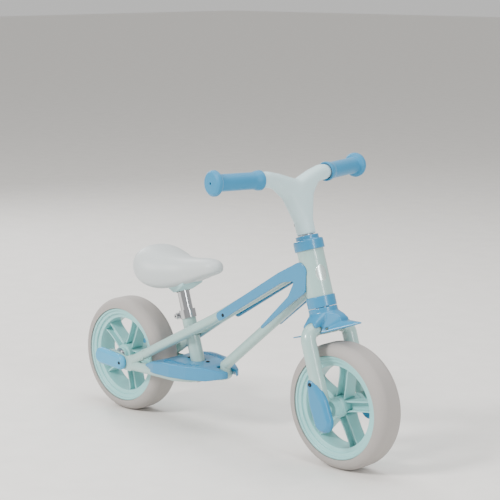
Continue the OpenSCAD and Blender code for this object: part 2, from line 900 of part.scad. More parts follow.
module handlebar_solid() {
    on_fork() {
        translate([0, 0, stem_s]) cylinder(h = 30, d = stem_d);
        both_sides() {
            hull() {
                translate([0, 0, stem_s + 24]) sphere(d = stem_d, $fn = 32);
                bar_fork(1.5);
            }
            hull() {
                bar_fork(0);
                translate([0, 42, grip_s - 5]) sphere(d = arm_d + 0.6, $fn = 32);
            }
            rod([0, 42, grip_s - 5], [0, 62, grip_s], arm_d);
            translate([0, 62, grip_s]) sphere(d = arm_d + weld);
            rod([0, 62, grip_s], [0, bar_reach, grip_s], arm_d);
        }
    }
    both_sides() bar_end_place() {
        sphere(d = bar_end_d);
        along_y() cylinder(h = grip_length - 12, d = bar_end_d);
    }
}

module handlebar() {
    color(PALE) difference() {
        handlebar_solid();
        steerer_solid(steerer_d);
        handlebar_bolt_place() {
            translate([0, 0, -12.4]) cylinder(h = 60, d = 6);
            translate([0, 0, 13.5]) cylinder(h = 20, d = 11);
        }
    }
}

// The bolt points back from the stem, under a rounded head.
module handlebar_bolt_place() {
    on_fork() translate([0, 0, stem_s + 20]) rotate([0, -90, 0]) children();
}

module handlebar_bolt() {
    color(DARK) handlebar_bolt_place() {
        translate([0, 0, -12]) cylinder(h = 25.5, d = 6);
        translate([0, 0, 13.5]) cylinder(h = 4, d = 10);
    }
}

// Soft grip: flared collar, ribbed sleeve and a domed end flange.
module grip(left) {
    color(BLUE) side_of(left) bar_end_place() along_y() rotate_extrude($fn = 96) polygon([
        [bar_end_d / 2, 4], [grip_d / 2 + 1.5, 0], [grip_d / 2 + 2.5, 2], [grip_d / 2 + 2.2, 8],
        [grip_d / 2, 16], [grip_d / 2, grip_length - 15], [grip_d / 2 + 4, grip_length - 13],
        [grip_d / 2 + 7, grip_length - 9], [grip_d / 2 + 6.5, grip_length - 4],
        [grip_d / 2 + 3, grip_length - 1], [2, grip_length], [2, grip_length - 11],
        [bar_end_d / 2, grip_length - 11]
    ]);
}

module grip_right() { grip(false); }
module grip_left() { grip(true); }

// ------------------------------------------------------------ seat

module seat_post() {
    color(CHROME) on_seat_axis() difference() {
        translate([0, 0, seat_top + post_sink - seat_post_length]) cylinder(h = seat_post_length, d = seat_post_d);
        translate([0, 0, seat_top + post_sink - seat_post_length - cut])
            cylinder(h = seat_post_length + 2 * cut, d = seat_post_d - 3);
    }
}

// Moulded base that clips the saddle to the seat post.
module base_solid(grow) {
    hull() {
        on_seat_axis() translate([0, 0, seat_top]) cylinder(h = 5, r = 17 + grow, $fn = 32);
        translate([seat_foot[0] - 66, -24 - grow, seat_foot[2] + 134]) cube([54, 48 + 2 * grow, 8]);
    }
}

module saddle_base() {
    color(MINT) difference() {
        base_solid(0);
        on_seat_axis() translate([0, 0, seat_top - cut]) cylinder(h = post_sink + cut, d = seat_post_d);
        saddle_screw_places() translate([0, 0, -7]) cylinder(h = 7 + cut, d = 2.5);
    }
}

module egg(p, a, b, c) {
    translate(p) scale([a, b, c]) sphere(r = 1, $fn = 40);
}

// Padded saddle: a broad tail, a waist and a rounded nose.
module saddle() {
    tail_x = seat_foot[0] - 84;
    nose_tip = seat_foot[0] - 130 + saddle_length;
    z = seat_foot[2];
    color(PALE) difference() {
        union() {
            hull() {
                egg([tail_x - 12, 0, z + 162.5], 37, saddle_w / 2 - 8, 30.5);
                egg([tail_x + 16, 0, z + 138], 42, saddle_w / 2 - 6, 17.5);
            }
            hull() {
                egg([tail_x + 45, 0, z + 153], 30, 30, 25);
                egg([nose_tip - 17, 0, z + 168], 17, 16, 14);
            }
        }
        base_solid(0.1);
    }
}

module saddle_screw_places() {
    on_seat_axis() for (s = [-1, 1]) translate([0, s * (seat_post_d / 2 + 3.2), seat_top]) mirror([0, 0, 1]) children();
}

module saddle_screws() {
    color(DARK) saddle_screw_places() screw(4.4, 2.5, 7);
}

// ------------------------------------------------------------ assembly

head_tube();
main_tube_right();
main_tube_left();
down_tube();
seat_tube();
lower_rail();
dropout_right();
dropout_left();
base_plate();
stay_bridge();
stay_bridge_screws();
seat_tube_plug();
headset_cap();
headset_ring();
upper_bush();
lower_bush();
side_cover_right();
side_cover_left();
side_cover_screws();
footboard();
footboard_screws();
seat_clamp();
seat_clamp_bolt();
rear_axle();
rear_axle_nuts();
rear_spacers();
rear_cover_right();
rear_cover_left();
rear_cover_screws();
handlebar();
grip_right();
grip_left();
steerer_tube();
handlebar_bolt();
fork_crown();
fork_leg_right();
fork_leg_left();
crown_cover();
front_axle();
front_axle_nuts();
front_spacers();
fork_cover_right();
fork_cover_left();
fork_cover_screws();
front_rim();
front_tyre();
front_bearing_right();
front_bearing_left();
rear_rim();
rear_tyre();
rear_bearing_right();
rear_bearing_left();
seat_post();
saddle_base();
saddle();
saddle_screws();
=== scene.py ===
"""Child's balance bike: moulded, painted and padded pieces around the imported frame.

Every length is in metres. X points forward, Y to the rider's left and Z up.
"""

import logging
import math
from dataclasses import dataclass, field
from enum import Enum
from typing import Callable, Iterable, Sequence

import bmesh
import bpy
from mathutils import Matrix, Vector


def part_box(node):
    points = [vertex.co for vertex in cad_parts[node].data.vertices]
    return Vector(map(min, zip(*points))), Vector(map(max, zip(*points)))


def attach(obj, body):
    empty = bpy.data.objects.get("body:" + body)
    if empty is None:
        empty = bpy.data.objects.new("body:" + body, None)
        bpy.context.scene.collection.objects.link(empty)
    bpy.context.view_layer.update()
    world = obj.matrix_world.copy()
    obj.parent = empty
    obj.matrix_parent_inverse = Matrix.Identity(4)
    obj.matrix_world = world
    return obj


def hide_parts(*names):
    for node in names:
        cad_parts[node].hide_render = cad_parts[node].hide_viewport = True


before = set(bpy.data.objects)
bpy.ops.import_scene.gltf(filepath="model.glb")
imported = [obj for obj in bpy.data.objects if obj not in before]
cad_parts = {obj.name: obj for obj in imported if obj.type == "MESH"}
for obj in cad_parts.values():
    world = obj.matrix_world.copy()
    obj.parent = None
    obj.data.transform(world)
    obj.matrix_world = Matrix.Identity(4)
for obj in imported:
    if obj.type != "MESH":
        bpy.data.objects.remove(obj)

log = logging.getLogger("balance_bike")

Point = tuple[float, float, float]
Colour = tuple[float, float, float]
Outline = Sequence[tuple[float, float]]
Value = bpy.types.NodeSocket | float

MM = 0.001
FINE = 0.75 * MM  # grain of the small mouldings


# ---------------------------------------------------------------- places

class Body(str, Enum):
    """The rigid bodies that pieces ride on."""

    FRAME = "frame"
    STEERING = "steering"
    FRONT_WHEEL = "front_wheel"
    REAR_WHEEL = "rear_wheel"
    SEAT = "seat"


class Side(Enum):
    """Which side of the bike a piece is on."""

    RIGHT = -1
    LEFT = 1


def centre(node: str) -> Vector:
    """Find the middle of a CAD node's box.

    Args:
        node: Name of the CAD node.

    Returns:
        The middle of its box at rest.
    """
    low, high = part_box(node)
    return (low + high) / 2


@dataclass(frozen=True)
class Axis:
    """A leaning axis: where it starts and how far it leans back from upright."""

    foot: Point
    lean_deg: float

    def matrix(self) -> Matrix:
        """Return the transform that puts Z along the axis and X forward across it."""
        return Matrix.Translation(self.foot) @ Matrix.Rotation(math.radians(-self.lean_deg), 4, "Y")

    def at(self, along: float, forward: float = 0.0, left: float = 0.0) -> Vector:
        """Find a point beside the axis.

        Args:
            along: Distance up the axis.
            forward: Distance in front of it, square to it.
            left: Distance to the rider's left.

        Returns:
            The point in the shared frame.
        """
        return self.matrix() @ Vector((forward, left, along))


HEAD = Axis(foot=tuple(centre("front_axle")), lean_deg=17.5)
SEAT = Axis(foot=(-0.081, 0.0, 0.115), lean_deg=17.0)


# ---------------------------------------------------------------- meshes

def link(name: str, mesh: bpy.types.Mesh) -> bpy.types.Object:
    """Put a mesh into the scene as an object at the origin.

    Args:
        name: Name of the object.
        mesh: Its mesh.

    Returns:
        The new object.
    """
    piece = bpy.data.objects.new(name, mesh)
    bpy.context.scene.collection.objects.link(piece)
    return piece


def close_up(mesh: bpy.types.Mesh, gap: float = 1e-6) -> bpy.types.Mesh:
    """Merge doubled points, face everything outwards and shade it smooth.

    Args:
        mesh: The mesh to finish.
        gap: Points nearer than this become one.

    Returns:
        The same mesh.
    """
    bm = bmesh.new()
    bm.from_mesh(mesh)
    bmesh.ops.remove_doubles(bm, verts=bm.verts, dist=gap)
    bmesh.ops.recalc_face_normals(bm, faces=bm.faces)
    bm.to_mesh(mesh)
    bm.free()
    mesh.shade_smooth()
    return mesh


def rounded(profile: Outline, radius: float, steps: int = 4) -> list[tuple[float, float]]:
    """Round every corner of a closed outline.

    Args:
        profile: Corners of the outline, in order.
        radius: How far from each corner the rounding starts, at most.
        steps: Points along each rounded corner.

    Returns:
        The outline with its corners rounded.
    """
    points: list[tuple[float, float]] = []
    count = len(profile)
    for i, corner in enumerate(profile):
        here = Vector(corner)
        before = Vector(profile[i - 1]) - here
        after = Vector(profile[(i + 1) % count]) - here
        reach = min(radius, 0.45 * before.length, 0.45 * after.length)
        start = here + before.normalized() * reach
        end = here + after.normalized() * reach
        for k in range(steps + 1):
            t = k / steps
            spot = start * (1 - t) ** 2 + here * 2 * t * (1 - t) + end * t ** 2
            points.append((spot.x, spot.y))
    return points


def closed_tube(name: str, verts: Sequence[Vector], n: int) -> bpy.types.Mesh:
    """Skin rings of points that close both round and along.

    Args:
        name: Name of the mesh.
        verts: Points, ring after ring.
        n: Points in each ring.

    Returns:
        The closed mesh.
    """
    count = len(verts) // n
    faces = [
        (i * n + k, i * n + (k + 1) % n, (i + 1) % count * n + (k + 1) % n, (i + 1) % count * n + k)
        for i in range(count) for k in range(n)
    ]
    mesh = bpy.data.meshes.new(name)
    mesh.from_pydata(verts, [], faces)
    return close_up(mesh)


def turned(name: str, profile: Outline, place: Matrix, segments: int = 96) -> bpy.types.Mesh:
    """Turn a closed outline about Z, as on a lathe.

    Args:
        name: Name of the mesh.
        profile: Outline as (radius, height) pairs, none on the axis itself.
        place: Transform from the lathe to the shared frame.
        segments: Steps round the axis.

    Returns:
        The closed mesh.
    """
    verts: list[Vector] = []
    for i in range(segments):
        angle = 2 * math.pi * i / segments
        verts += [place @ Vector((r * math.cos(angle), r * math.sin(angle), h)) for r, h in profile]
    return closed_tube(name, verts, len(profile))


def lofted(name: str, rings: Sequence[Sequence[Vector]]) -> bpy.types.Mesh:
    """Skin a row of rings with equal numbers of points, and close both ends.

    Args:
        name: Name of the mesh.
        rings: The rings, in order along the piece.

    Returns:
        The closed mesh.
    """
    n = len(rings[0])
    verts = [p for ring in rings for p in ring]
    faces: list[tuple[int, ...]] = [
        (i * n + k, i * n + (k + 1) % n, (i + 1) * n + (k + 1) % n, (i + 1) * n + k)
        for i in range(len(rings) - 1) for k in range(n)
    ]
    faces += [tuple(range(n)), tuple(range((len(rings) - 1) * n, len(rings) * n))]
    mesh = bpy.data.meshes.new(name)
    mesh.from_pydata(verts, [], faces)
    return close_up(mesh)


def bake(piece: bpy.types.Object) -> bpy.types.Object:
    """Turn a piece's modifiers into its mesh and take them off.

    Args:
        piece: The object to bake.

    Returns:
        The same object, with a plain mesh.
    """
    graph = bpy.context.evaluated_depsgraph_get()
    mesh = bpy.data.meshes.new_from_object(piece.evaluated_get(graph))
    mesh.name = piece.name
    piece.modifiers.clear()
    piece.data = mesh
    return piece


def moulded(name: str, nodes: Sequence[str], grain: float, passes: int) -> bpy.types.Object:
    """Cast CAD nodes again as one moulding whose edges are rounded off.

    Args:
        name: Name of the new piece.
        nodes: CAD nodes that it stands for.
        grain: Size of the cells that it is cast in.
        passes: How many times the surface is relaxed; more rounds the edges further.

    Returns:
        The new piece, already standing in for the nodes.
    """
    bm = bmesh.new()
    for node in nodes:
        bm.from_mesh(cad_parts[node].data)
    bmesh.ops.remove_doubles(bm, verts=bm.verts, dist=1e-6)
    mesh = bpy.data.meshes.new(name)
    bm.to_mesh(mesh)
    bm.free()
    piece = link(name, mesh)
    cells = piece.modifiers.new("Cells", "REMESH")
    cells.mode = "VOXEL"
    cells.voxel_size = grain
    relax = piece.modifiers.new("Relax", "SMOOTH")
    relax.factor = 0.5
    relax.iterations = passes
    bake(piece)
    piece.data.shade_smooth()
    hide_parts(*nodes)
    return piece


def settle(piece: bpy.types.Object, body: Body, finish: bpy.types.Material) -> bpy.types.Object:
    """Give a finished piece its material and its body.

    Args:
        piece: The finished piece.
        body: Body that it moves with.
        finish: Its material.

    Returns:
        The same piece.
    """
    piece.data.materials.clear()
    piece.data.materials.append(finish)
    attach(piece, body.value)
    log.info("%s: %d faces on %s", piece.name, len(piece.data.polygons), body.value)
    return piece


def coat(nodes: Iterable[str], finish: bpy.types.Material) -> None:
    """Give CAD nodes a material.

    Args:
        nodes: Names of the nodes.
        finish: Their new material.
    """
    for node in nodes:
        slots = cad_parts[node].material_slots
        for slot in slots:
            slot.material = finish
        log.info("%s: %s", node, finish.name)


# ---------------------------------------------------------------- shader groups

class Group:
    """A shader node group with named sockets, built once."""

    def __init__(self, name: str, inputs: dict[str, float], outputs: Sequence[str]) -> None:
        """Start an empty group.

        Args:
            name: Name of the group.
            inputs: Float inputs and their usual values.
            outputs: Float outputs.
        """
        self.tree = bpy.data.node_groups.new(name, "ShaderNodeTree")
        for label, value in inputs.items():
            socket = self.tree.interface.new_socket(label, in_out="INPUT", socket_type="NodeSocketFloat")
            socket.default_value = value
        for label in outputs:
            self.tree.interface.new_socket(label, in_out="OUTPUT", socket_type="NodeSocketFloat")
        self.entry = self.tree.nodes.new("NodeGroupInput")
        self.exit = self.tree.nodes.new("NodeGroupOutput")

    def node(self, kind: str, **settings: object) -> bpy.types.Node:
        """Add one node.

        Args:
            kind: Blender's name for the node.
            settings: Attributes to set on it.

        Returns:
            The new node.
        """
        made = self.tree.nodes.new(kind)
        for key, value in settings.items():
            setattr(made, key, value)
        return made

    def join(self, source: bpy.types.NodeSocket, target: bpy.types.NodeSocket) -> None:
        """Link two sockets."""
        self.tree.links.new(source, target)

    def maths(self, operation: str, a: Value, b: Value) -> bpy.types.NodeSocket:
        """Add a Math node.

        Args:
            operation: What it does, in Blender's word.
            a: First value or socket.
            b: Second value or socket.

        Returns:
            Its output.
        """
        made = self.node("ShaderNodeMath", operation=operation)
        for socket, value in zip(made.inputs, (a, b)):
            if isinstance(value, (int, float)):
                socket.default_value = value
            else:
                self.join(value, socket)
        return made.outputs[0]


def moulding_skin() -> Group:
    """Build the fine spark-eroded skin of a moulding, with slow waves under it."""
    group = Group("moulding_skin", {"Grain": 900.0, "Waves": 25.0, "Depth": 1.0}, ("Height", "Patches"))
    place = group.node("ShaderNodeTexCoord").outputs["Object"]
    fine = group.node("ShaderNodeTexNoise")
    fine.inputs["Detail"].default_value = 3.0
    slow = group.node("ShaderNodeTexNoise")
    slow.inputs["Detail"].default_value = 2.0
    for noise, scale in ((fine, "Grain"), (slow, "Waves")):
        group.join(place, noise.inputs["Vector"])
        group.join(group.entry.outputs[scale], noise.inputs["Scale"])
    mixed = group.maths("ADD", group.maths("MULTIPLY", fine.outputs["Fac"], 0.35), slow.outputs["Fac"])
    group.join(group.maths("MULTIPLY", mixed, group.entry.outputs["Depth"]), group.exit.inputs["Height"])
    group.join(slow.outputs["Fac"], group.exit.inputs["Patches"])
    return group


def handling_marks() -> Group:
    """Build faint rubbed patches with hairline scratches in them."""
    group = Group("handling_marks", {"Spread": 14.0, "Hairlines": 260.0, "Amount": 0.5}, ("Marks",))
    place = group.node("ShaderNodeTexCoord").outputs["Object"]
    patch = group.node("ShaderNodeTexNoise")
    patch.inputs["Detail"].default_value = 4.0
    group.join(place, patch.inputs["Vector"])
    group.join(group.entry.outputs["Spread"], patch.inputs["Scale"])
    squeeze = group.node("ShaderNodeMapping")
    squeeze.inputs["Scale"].default_value = (0.15, 1.0, 0.35)
    squeeze.inputs["Rotation"].default_value = (0.4, 0.2, 0.7)
    group.join(place, squeeze.inputs["Vector"])
    lines = group.node("ShaderNodeTexNoise")
    lines.inputs["Detail"].default_value = 1.0
    group.join(squeeze.outputs[0], lines.inputs["Vector"])
    group.join(group.entry.outputs["Hairlines"], lines.inputs["Scale"])
    thin = group.maths("MULTIPLY", group.maths("GREATER_THAN", lines.outputs["Fac"], 0.66), 0.5)
    rubbed = group.maths("MAXIMUM", group.maths("SUBTRACT", patch.outputs["Fac"], 0.45), 0.0)
    marks = group.maths("MULTIPLY", rubbed, group.maths("ADD", thin, 1.0))
    group.join(group.maths("MULTIPLY", marks, group.entry.outputs["Amount"]), group.exit.inputs["Marks"])
    return group


def cell_skin() -> Group:
    """Build closed foam cells, or leather pebbles when they are drawn larger."""
    group = Group("cell_skin", {"Cells": 1400.0, "Roundness": 1.0}, ("Height", "Cell Tone"))
    place = group.node("ShaderNodeTexCoord").outputs["Object"]
    cells = group.node("ShaderNodeTexVoronoi", feature="F1")
    edges = group.node("ShaderNodeTexVoronoi", feature="DISTANCE_TO_EDGE")
    for cell in (cells, edges):
        group.join(place, cell.inputs["Vector"])
        group.join(group.entry.outputs["Cells"], cell.inputs["Scale"])
    rise = group.maths("POWER", edges.outputs["Distance"], 0.5)
    group.join(group.maths("MULTIPLY", rise, group.entry.outputs["Roundness"]), group.exit.inputs["Height"])
    tone = group.node("ShaderNodeSeparateColor")
    group.join(cells.outputs["Color"], tone.inputs[0])
    group.join(tone.outputs[0], group.exit.inputs["Cell Tone"])
    return group


SKIN = moulding_skin()
MARKS = handling_marks()
CELLS = cell_skin()


# ---------------------------------------------------------------- finishes

class Sheet:
    """One material being written, with its Principled shader in place."""

    def __init__(self, name: str) -> None:
        """Start a material.

        Args:
            name: Name of the material.
        """
        self.material = bpy.data.materials.new(name)
        self.material.use_nodes = True
        self.tree = self.material.node_tree
        self.shader = next(n for n in self.tree.nodes if n.type == "BSDF_PRINCIPLED")

    def group(self, group: Group, **values: float) -> bpy.types.Node:
        """Place a shared group.

        Args:
            group: The group to place.
            values: Its inputs, with underscores for spaces.

        Returns:
            The group node.
        """
        made = self.tree.nodes.new("ShaderNodeGroup")
        made.node_tree = group.tree
        for label, value in values.items():
            made.inputs[label.replace("_", " ")].default_value = value
        return made

    def between(self, factor: bpy.types.NodeSocket, low: Colour, high: Colour) -> bpy.types.NodeSocket:
        """Mix two colours by a mask.

        Args:
            factor: The mask.
            low: Colour where it is 0.
            high: Colour where it is 1.

        Returns:
            The mixed colour's socket.
        """
        mix = self.tree.nodes.new("ShaderNodeMix")
        mix.data_type = "RGBA"
        self.tree.links.new(factor, mix.inputs[0])
        mix.inputs[6].default_value = (*low, 1)
        mix.inputs[7].default_value = (*high, 1)
        return mix.outputs[2]

    def ranged(self, value: bpy.types.NodeSocket, low: float, high: float) -> bpy.types.NodeSocket:
        """Stretch a mask over a range of values.

        Args:
            value: The mask, from 0 to 1.
            low: Result where it is 0.
            high: Result where it is 1.

        Returns:
            The stretched value's socket.
        """
        spread = self.tree.nodes.new("ShaderNodeMapRange")
        self.tree.links.new(value, spread.inputs[0])
        spread.inputs[3].default_value = low
        spread.inputs[4].default_value = high
        return spread.outputs[0]

    def bump(self, height: bpy.types.NodeSocket, strength: float, distance: float,
             under: bpy.types.NodeSocket | None = None) -> bpy.types.NodeSocket:
        """Raise the surface by a height.

        Args:
            height: The height's socket.
            strength: How much of the bump shows.
            distance: Height of a full step, in metres.
            under: Normal of a coarser bump below this one.

        Returns:
            The bumped normal's socket.
        """
        made = self.tree.nodes.new("ShaderNodeBump")
        made.inputs["Strength"].default_value = strength
        made.inputs["Distance"].default_value = distance
        self.tree.links.new(height, made.inputs["Height"])
        if under is not None:
            self.tree.links.new(under, made.inputs["Normal"])
        return made.outputs[0]

    def feed(self, source: bpy.types.NodeSocket, socket: str) -> None:
        """Link a socket to one of the shader's inputs."""
        self.tree.links.new(source, self.shader.inputs[socket])

    def fixed(self, **values: float) -> None:
        """Set plain numbers on the shader, with underscores for spaces."""
        for label, value in values.items():
            self.shader.inputs[label.replace("_", " ")].default_value = value


def tones(colour: Colour, dark: float, light: float) -> tuple[Colour, Colour]:
    """Make a darker and a lighter tone of a colour.

    Args:
        colour: The colour.
        dark: Factor of the darker tone.
        light: Factor of the lighter tone, which is held below pure white.

    Returns:
        Both tones.
    """
    return tuple(c * dark for c in colour), tuple(min(c * light, 1) for c in colour)


@dataclass(frozen=True)
class Plastic:
    """A moulded plastic: its colour, its gloss and how coarse its skin is."""

    name: str
    colour: Colour
    rough: float
    grain: float = 1500.0
    depth: float = 0.00002
    coat: float = 0.0

    def material(self) -> bpy.types.Material:
        """Build the material.

        Returns:
            Plastic with a fine skin, slow tone changes and rubbed patches.
        """
        sheet = Sheet(self.name)
        skin = sheet.group(SKIN, Grain=self.grain, Waves=18.0)
        marks = sheet.group(MARKS, Amount=0.9)
        sheet.feed(sheet.between(skin.outputs["Patches"], *tones(self.colour, 0.94, 1.05)), "Base Color")
        sheet.feed(sheet.ranged(marks.outputs["Marks"], self.rough, self.rough + 0.25), "Roughness")
        sheet.feed(sheet.bump(skin.outputs["Height"], 0.35, self.depth), "Normal")
        sheet.fixed(Coat_Weight=self.coat, Coat_Roughness=0.12, IOR=1.49)
        return sheet.material


@dataclass(frozen=True)
class Paint:
    """A sprayed and baked paint under a clear gloss."""

    name: str
    colour: Colour
    rough: float = 0.3
    coat: float = 0.7

    def material(self) -> bpy.types.Material:
        """Build the material.

        Returns:
            Paint with a slight orange peel and faint dust in the clear coat.
        """
        sheet = Sheet(self.name)
        peel = sheet.group(SKIN, Grain=420.0, Waves=60.0)
        marks = sheet.group(MARKS, Spread=22.0, Hairlines=320.0, Amount=0.6)
        sheet.feed(sheet.between(peel.outputs["Patches"], *tones(self.colour, 0.96, 1.04)), "Base Color")
        sheet.feed(sheet.ranged(marks.outputs["Marks"], self.rough, self.rough + 0.3), "Roughness")
        sheet.feed(sheet.bump(peel.outputs["Height"], 0.18, 0.00003), "Normal")
        sheet.fixed(Coat_Weight=self.coat, Coat_Roughness=0.06)
        return sheet.material


@dataclass(frozen=True)
class Soft:
    """A soft skin of small cells: foam, rubber or a grained cover."""

    name: str
    colour: Colour
    cells: float
    depth: float
    rough: float
    sheen: float = 0.0

    def material(self) -> bpy.types.Material:
        """Build the material.

        Returns:
            A matt skin of rounded cells whose tone drifts slowly.
        """
        sheet = Sheet(self.name)
        cells = sheet.group(CELLS, Cells=self.cells)
        skin = sheet.group(SKIN, Grain=self.cells * 0.4, Waves=11.0)
        marks = sheet.group(MARKS, Spread=9.0, Hairlines=120.0, Amount=0.5)
        sheet.feed(sheet.between(skin.outputs["Patches"], *tones(self.colour, 0.93, 1.05)), "Base Color")
        sheet.feed(sheet.ranged(marks.outputs["Marks"], self.rough, min(self.rough + 0.2, 1)), "Roughness")
        waves = sheet.bump(skin.outputs["Height"], 0.25, self.depth * 3)
        sheet.feed(sheet.bump(cells.outputs["Height"], 0.5, self.depth, under=waves), "Normal")
        sheet.fixed(Sheen_Weight=self.sheen, Sheen_Roughness=0.4, IOR=1.45)
        return sheet.material


@dataclass(frozen=True)
class Metal:
    """A bare or plated metal, drawn or polished along one direction."""

    name: str
    colour: Colour
    rough: float
    streaks: tuple[float, float, float] = (1.0, 1.0, 0.05)
    lean_deg: float = 0.0
    metallic: float = 1.0

    def material(self) -> bpy.types.Material:
        """Build the material.

        Returns:
            Metal with fine streaks along its draw and faint finger marks.
        """
        sheet = Sheet(self.name)
        place = sheet.tree.nodes.new("ShaderNodeTexCoord")
        turn = sheet.tree.nodes.new("ShaderNodeMapping")
        turn.vector_type = "TEXTURE"
        turn.inputs["Rotation"].default_value = (0.0, math.radians(-self.lean_deg), 0.0)
        draw = sheet.tree.nodes.new("ShaderNodeMapping")
        draw.inputs["Scale"].default_value = self.streaks
        noise = sheet.tree.nodes.new("ShaderNodeTexNoise")
        noise.inputs["Scale"].default_value = 900.0
        noise.inputs["Detail"].default_value = 3.0
        sheet.tree.links.new(place.outputs["Object"], turn.inputs["Vector"])
        sheet.tree.links.new(turn.outputs[0], draw.inputs["Vector"])
        sheet.tree.links.new(draw.outputs[0], noise.inputs["Vector"])
        marks = sheet.group(MARKS, Spread=30.0, Amount=0.8)
        sheet.feed(sheet.between(noise.outputs["Fac"], *tones(self.colour, 0.93, 1.0)), "Base Color")
        sheet.feed(sheet.ranged(marks.outputs["Marks"], self.rough, self.rough + 0.25), "Roughness")
        sheet.feed(sheet.bump(noise.outputs["Fac"], 0.08, 0.00001), "Normal")
        sheet.fixed(Metallic=self.metallic)
        return sheet.material


@dataclass(frozen=True)
class Palette:
    """Every finish on the bike."""

    frame_paint: bpy.types.Material
    blue: bpy.types.Material
    light_blue: bpy.types.Material
    bar: bpy.types.Material
    grip: bpy.types.Material
    saddle: bpy.types.Material
    saddle_base: bpy.types.Material
    wheel: bpy.types.Material
    foam: bpy.types.Material
    chrome: bpy.types.Material
    steel: bpy.types.Material
    black_steel: bpy.types.Material
    black_plastic: bpy.types.Material
    badge: bpy.types.Material
    floor: bpy.types.Material


def mix_palette() -> Palette:
    """Build every finish once.

    Returns:
        The palette.
    """
    return Palette(
        frame_paint=Paint("pale_green_paint", (0.33, 0.50, 0.475)).material(),
        blue=Plastic("sky_blue_plastic", (0.018, 0.215, 0.41), 0.32, coat=0.35).material(),
        light_blue=Plastic("light_blue_plastic", (0.045, 0.33, 0.56), 0.34, coat=0.3).material(),
        bar=Plastic("pale_bar_plastic", (0.50, 0.67, 0.70), 0.42, grain=1900.0).material(),
        grip=Soft("blue_grip_rubber", (0.018, 0.215, 0.41), 2200.0, 0.00004, 0.5, sheen=0.2).material(),
        saddle=Soft("pale_saddle_cover", (0.50, 0.54, 0.545), 1100.0, 0.00006, 0.45, sheen=0.1).material(),
        saddle_base=Plastic("pale_base_plastic", (0.36, 0.58, 0.59), 0.45).material(),
        wheel=Plastic("aqua_wheel_plastic", (0.29, 0.60, 0.60), 0.36, coat=0.15).material(),
        foam=Soft("warm_grey_foam", (0.35, 0.325, 0.31), 1500.0, 0.00008, 0.7).material(),
        chrome=Metal("polished_chrome", (0.52, 0.53, 0.55), 0.07, lean_deg=17.0).material(),
        steel=Metal("plated_steel", (0.55, 0.57, 0.60), 0.3, streaks=(1.0, 0.08, 1.0)).material(),
        black_steel=Metal("blackened_steel", (0.015, 0.017, 0.02), 0.4, metallic=0.6).material(),
        black_plastic=Plastic("black_plastic", (0.02, 0.022, 0.025), 0.5).material(),
        badge=Metal("satin_silver_badge", (0.70, 0.82, 0.80), 0.25, metallic=0.7).material(),
        floor=Plastic("pale_floor", (0.80, 0.78, 0.75), 0.7, grain=300.0).material(),
    )


# ---------------------------------------------------------------- repeated pieces

class Repeater:
    """A Geometry Nodes tree that puts one item at every point of a row, facing each point's own way."""

    INPUTS: dict[str, str] = {
        "Points": "NodeSocketGeometry",
        "Item": "NodeSocketObject",
        "Size": "NodeSocketFloat",
        "Finish": "NodeSocketMaterial",
    }

    def __init__(self) -> None:
        """Build the tree: instance on points, realize, set the material."""
        self.tree = bpy.data.node_groups.new("items_on_points", "GeometryNodeTree")
        self.sockets: dict[str, str] = {}
        for label, kind in self.INPUTS.items():
            socket = self.tree.interface.new_socket(label, in_out="INPUT", socket_type=kind)
            self.sockets[label] = socket.identifier
        self.tree.interface.new_socket("Items", in_out="OUTPUT", socket_type="NodeSocketGeometry")
        nodes, links = self.tree.nodes, self.tree.links
        entry, leave = nodes.new("NodeGroupInput"), nodes.new("NodeGroupOutput")
        item = nodes.new("GeometryNodeObjectInfo")
        facing = nodes.new("GeometryNodeInputNamedAttribute")
        facing.data_type = "FLOAT_VECTOR"
        facing.inputs["Name"].default_value = "facing"
        along = nodes.new("GeometryNodeInputNamedAttribute")
        along.data_type = "FLOAT_VECTOR"
        along.inputs["Name"].default_value = "along"
        raise_z = nodes.new("FunctionNodeAlignRotationToVector")
        raise_z.axis = "Z"
        turn_x = nodes.new("FunctionNodeAlignRotationToVector")
        turn_x.axis = "X"
        turn_x.pivot_axis = "Z"
        place = nodes.new("GeometryNodeInstanceOnPoints")
        real = nodes.new("GeometryNodeRealizeInstances")
        paint = nodes.new("GeometryNodeSetMaterial")
        links.new(entry.outputs["Item"], item.inputs["Object"])
        links.new(entry.outputs["Points"], place.inputs["Points"])
        links.new(item.outputs["Geometry"], place.inputs["Instance"])
        links.new(facing.outputs["Attribute"], raise_z.inputs["Vector"])
        links.new(raise_z.outputs["Rotation"], turn_x.inputs["Rotation"])
        links.new(along.outputs["Attribute"], turn_x.inputs["Vector"])
        links.new(turn_x.outputs["Rotation"], place.inputs["Rotation"])
        links.new(entry.outputs["Size"], place.inputs["Scale"])
        links.new(place.outputs["Instances"], real.inputs["Geometry"])
        links.new(real.outputs["Geometry"], paint.inputs["Geometry"])
        links.new(entry.outputs["Finish"], paint.inputs["Material"])
        links.new(paint.outputs["Geometry"], leave.inputs["Items"])

    def row(self, name: str, item: bpy.types.Object, places: Sequence[tuple[Vector, Vector, Vector]],
            finish: bpy.types.Material, size: float = 1.0) -> bpy.types.Object:
        """Make one plain mesh of an item repeated at given places.

        Args:
            name: Name of the new piece.
            item: The item, at the origin with Z out of the surface.
            places: Point, outward direction and lengthwise direction of each.
            finish: Material of the items.
            size: Scale of the items.

        Returns:
            The piece, with its modifier removed.
        """
        mesh = bpy.data.meshes.new(name)
        mesh.from_pydata([p for p, _, _ in places], [], [])
        for label, pick in (("facing", 1), ("along", 2)):
            store = mesh.attributes.new(label, "FLOAT_VECTOR", "POINT")
            for i, spot in enumerate(places):
                store.data[i].vector = spot[pick]
        piece = link(name, mesh)
        modifier = piece.modifiers.new("Row", "NODES")
        modifier.node_group = self.tree
        modifier[self.sockets["Item"]] = item
        modifier[self.sockets["Size"]] = size
        modifier[self.sockets["Finish"]] = finish
        bake(piece)
        piece.data.shade_smooth()
        return piece


ROWS = Repeater()


